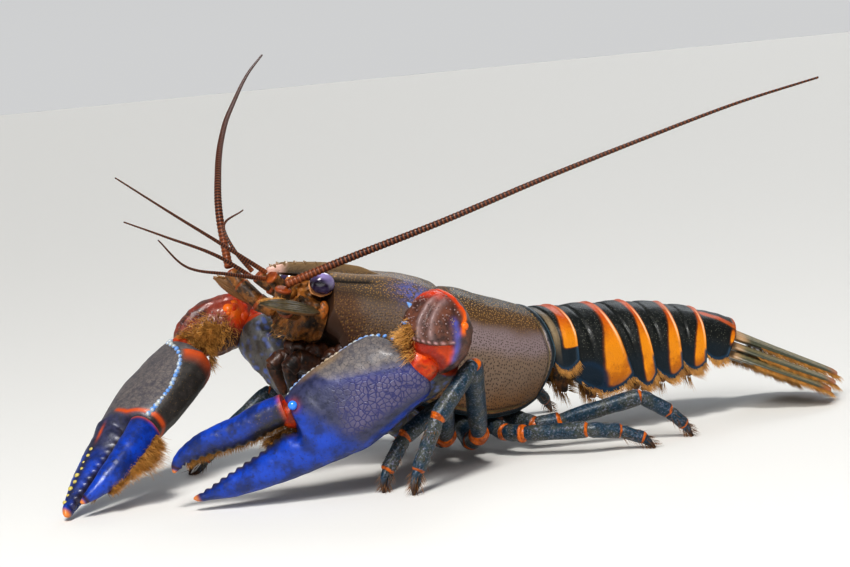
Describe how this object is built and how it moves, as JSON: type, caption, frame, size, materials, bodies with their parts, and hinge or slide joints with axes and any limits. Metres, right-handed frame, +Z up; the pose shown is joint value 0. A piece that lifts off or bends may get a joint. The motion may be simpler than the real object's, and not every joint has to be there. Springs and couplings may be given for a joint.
{
  "type": "freshwater crayfish",
  "caption": "Life-size still model of a freshwater crayfish, Cherax peknyi, standing with both claws lowered to the floor and its tail laid back.",
  "frame": {"origin": "on the floor, at the middle of the bottom of the whole model's box, feelers included", "axes": "+Z up, +X towards the tail, -X towards the head, -Y the animal's left side"},
  "size_m": [0.154, 0.1244, 0.0761],
  "materials": {
    "shell": "satin, grey-brown with fine golden pits",
    "underside": "matt tan",
    "head": "satin orange-brown",
    "tail_ring": "glossy black-green with orange bands",
    "leg": "satin dark teal, orange joints",
    "claw": "glossy blue and grey-violet",
    "arm": "satin grey with blue spots",
    "wrist": "glossy brown and red-orange",
    "fan": "satin olive, orange edges",
    "feeler": "matt red-brown, ringed",
    "eye": "high gloss dark violet"
  },
  "bodies": {
    "root": {"antenna_base_left": "head", "antenna_base_right": "head", "antenna_flagellum_left": "feeler", "antenna_flagellum_right": "feeler", "antenna_scale_left": "fan", "antenna_scale_right": "fan", "antennule_base_left": "head", "antennule_base_right": "head", "antennule_lower_left": "feeler", "antennule_lower_right": "feeler", "antennule_upper_left": "feeler", "antennule_upper_right": "feeler", "carapace": "shell", "chest_underside": "underside", "claw_finger_left": "claw", "claw_finger_right": "claw", "claw_hand_left": "claw", "claw_hand_right": "claw", "claw_ischium_left": "arm", "claw_ischium_right": "arm", "claw_merus_left": "arm", "claw_merus_right": "arm", "claw_wrist_left": "wrist", "claw_wrist_right": "wrist", "eye_left": "eye", "eye_right": "eye", "eyestalk_left": "head", "eyestalk_right": "head", "face": "head", "leg_2_left_lower": "leg", "leg_2_left_upper": "leg", "leg_2_right_lower": "leg", "leg_2_right_upper": "leg", "leg_3_left_lower": "leg", "leg_3_left_upper": "leg", "leg_3_right_lower": "leg", "leg_3_right_upper": "leg", "leg_4_left_lower": "leg", "leg_4_left_upper": "leg", "leg_4_right_lower": "leg", "leg_4_right_upper": "leg", "leg_5_left_lower": "leg", "leg_5_left_upper": "leg", "leg_5_right_lower": "leg", "leg_5_right_upper": "leg", "mouth_leg_left": "head", "mouth_leg_right": "head", "tail_ring_1": "tail_ring", "tail_ring_2": "tail_ring", "tail_ring_3": "tail_ring", "tail_ring_4": "tail_ring", "tail_ring_5": "tail_ring", "tail_ring_6": "tail_ring", "telson": "fan", "uropod_inner_left": "fan", "uropod_inner_right": "fan", "uropod_outer_left": "fan", "uropod_outer_right": "fan"}
  },
  "joints": []
}
